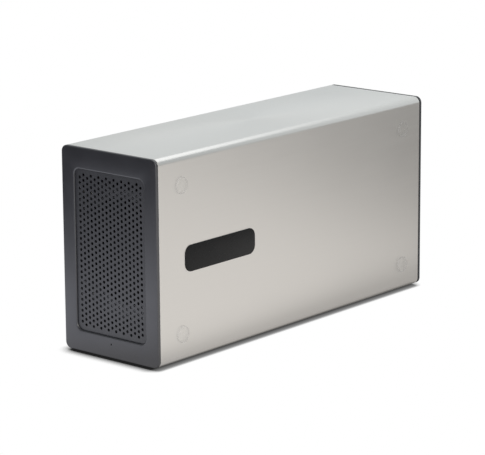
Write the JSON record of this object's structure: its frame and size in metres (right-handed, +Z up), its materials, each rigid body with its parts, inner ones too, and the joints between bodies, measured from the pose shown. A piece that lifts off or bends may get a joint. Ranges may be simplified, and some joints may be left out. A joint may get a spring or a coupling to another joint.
{
  "type": "pcie expansion chassis",
  "caption": "Upright box with a perforated bezel and a metal sleeve; an inner tray with fan, boards and card slots slides out to the rear.",
  "frame": {"origin": "middle of the part's box, on the plane its feet stand on", "axes": "+X to the bumper side, +Y from the bezel to the rear panel, +Z up"},
  "size_m": [0.0908, 0.309, 0.1488],
  "materials": {
    "sleeve_paint": "satin silver-grey paint",
    "bezel_plastic": "fine-textured anthracite",
    "grille_paint": "satin anthracite powder coat",
    "panel_paint": "black powder coat",
    "zinc_sheet": "zinc-plated sheet",
    "nickel": "nickel-plated",
    "thumb_metal": "turned, nickel-plated",
    "cover_steel": "bright plated",
    "port_shell": "plated shell",
    "clear_bumper": "clear soft plastic",
    "badge_gloss": "black label",
    "clear_plastic": "clear moulding",
    "board_laminate": "solder mask",
    "connector_black": "moulded black",
    "fan_plastic": "moulded black",
    "ivory_plastic": "natural moulding",
    "brass_turned": "turned",
    "copper_winding": "enamelled winding",
    "sink_aluminium": "extruded",
    "chip_epoxy": "moulded package",
    "lead_jacket": "sleeved wires"
  },
  "bodies": {
    "shell": {"outer_sleeve": "sleeve_paint", "front_bezel": "bezel_plastic", "front_frame": "zinc_sheet", "front_grille": "grille_paint", "bezel_screws": "nickel", "led_light_pipe": "clear_plastic", "badge_plate": "badge_gloss", "bottom_feet": "clear_bumper", "side_bumpers": "clear_bumper", "sleeve_brackets": "zinc_sheet", "clinch_nuts": "nickel"},
    "tray": {"tray_pan": "zinc_sheet", "slot_frame": "zinc_sheet", "rear_panel": "panel_paint", "panel_rivets": "nickel", "fan_frame": "fan_plastic", "fan_bearing": "brass_turned", "fan_stator": "copper_winding", "fan_screws": "nickel", "fan_lead": "lead_jacket", "led_board": "board_laminate", "led_lead": "lead_jacket", "main_board": "board_laminate", "board_standoffs": "brass_turned", "board_screws": "nickel", "card_slot_a": "connector_black", "card_slot_b": "connector_black", "slot_cover_a": "cover_steel", "slot_cover_b": "cover_steel", "slot_cover_screws": "nickel", "host_board": "board_laminate", "host_socket": "connector_black", "host_bracket": "zinc_sheet", "host_screws": "nickel", "controller_chip": "chip_epoxy", "heat_sink": "sink_aluminium", "usb_c_port_a": "port_shell", "usb_c_port_b": "port_shell", "display_port": "port_shell", "dc_jack": "connector_black", "bridge_chip": "chip_epoxy", "power_coils": "chip_epoxy", "capacitors": "sink_aluminium", "small_chips": "chip_epoxy", "fan_header": "ivory_plastic", "led_header": "ivory_plastic"},
    "fan_rotor": {"fan_rotor": "fan_plastic"},
    "latch_a": {"slot_latch_a": "ivory_plastic"},
    "latch_b": {"slot_latch_b": "ivory_plastic"},
    "washer_left": {"thumb_washer_left": "thumb_metal"},
    "screw_left": {"thumbscrew_left": "thumb_metal"},
    "washer_right": {"thumb_washer_right": "thumb_metal"},
    "screw_right": {"thumbscrew_right": "thumb_metal"}
  },
  "joints": [
    {"name": "tray_slide", "type": "slide", "parent": "shell", "child": "tray", "axis": [0, 1, 0], "range_m": [0, 0.284]},
    {"name": "fan_spin", "type": "hinge", "parent": "tray", "child": "fan_rotor", "pos_m": [-0.0009, -0.1245, 0.0753], "axis": [0, 1, 0], "continuous": true},
    {"name": "latch_a_tilt", "type": "hinge", "parent": "tray", "child": "latch_a", "pos_m": [-0.02555, -0.0102, 0.0164], "axis": [1, 0, 0], "range_deg": [0, 28]},
    {"name": "latch_b_tilt", "type": "hinge", "parent": "tray", "child": "latch_b", "pos_m": [-0.00523, -0.0102, 0.0164], "axis": [1, 0, 0], "range_deg": [0, 28]},
    {"name": "thumb_left_out", "type": "slide", "parent": "tray", "child": "washer_left", "axis": [0, 1, 0], "range_m": [0, 0.0049]},
    {"name": "thumb_left_turn", "type": "hinge", "parent": "washer_left", "child": "screw_left", "pos_m": [-0.0309, 0.1465, 0.1378], "axis": [0, 1, 0], "range_deg": [0, 2521]},
    {"name": "thumb_right_out", "type": "slide", "parent": "tray", "child": "washer_right", "axis": [0, 1, 0], "range_m": [0, 0.0049]},
    {"name": "thumb_right_turn", "type": "hinge", "parent": "washer_right", "child": "screw_right", "pos_m": [0.0291, 0.1465, 0.1378], "axis": [0, 1, 0], "range_deg": [0, 2521]}
  ],
  "couplings": [
    {"joint": "thumb_left_turn", "follows": "thumb_left_out", "rad_per_m": 8976},
    {"joint": "thumb_right_turn", "follows": "thumb_right_out", "rad_per_m": 8976}
  ]
}
